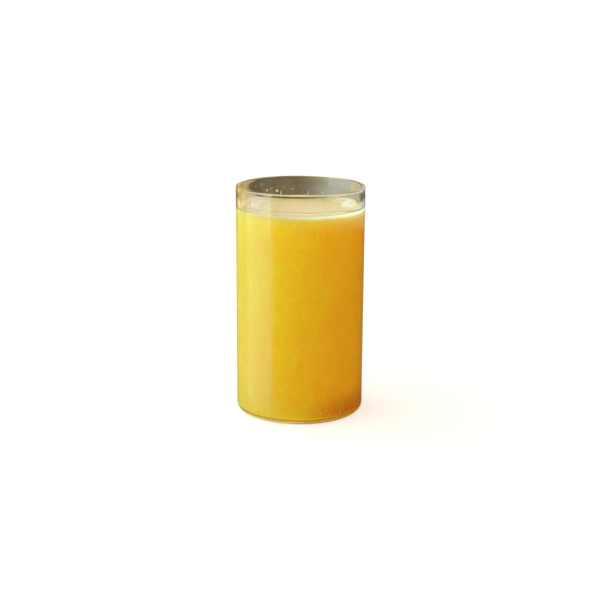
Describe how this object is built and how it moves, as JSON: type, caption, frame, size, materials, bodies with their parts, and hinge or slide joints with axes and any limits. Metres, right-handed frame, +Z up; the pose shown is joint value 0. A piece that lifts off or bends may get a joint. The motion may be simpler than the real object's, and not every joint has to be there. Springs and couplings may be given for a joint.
{
  "type": "glass of sweet lime juice",
  "caption": "Straight-sided clear tumbler with a rounded rim and a shallow hollow foot, filled near the top with cloudy yellow juice under a thin, pale head of froth.",
  "frame": {"origin": "centre of the circle that the foot stands on", "axes": "+Z up along the axis of the glass, +X to the right and +Y away from the front"},
  "size_m": [0.07, 0.07, 0.125],
  "materials": {
    "glass": "clear, fire-polished",
    "juice": "cloudy yellow-orange juice",
    "froth": "fine pale froth with small bubbles"
  },
  "bodies": {
    "root": {"glass": "glass", "juice": "juice", "froth": "froth"}
  },
  "joints": []
}
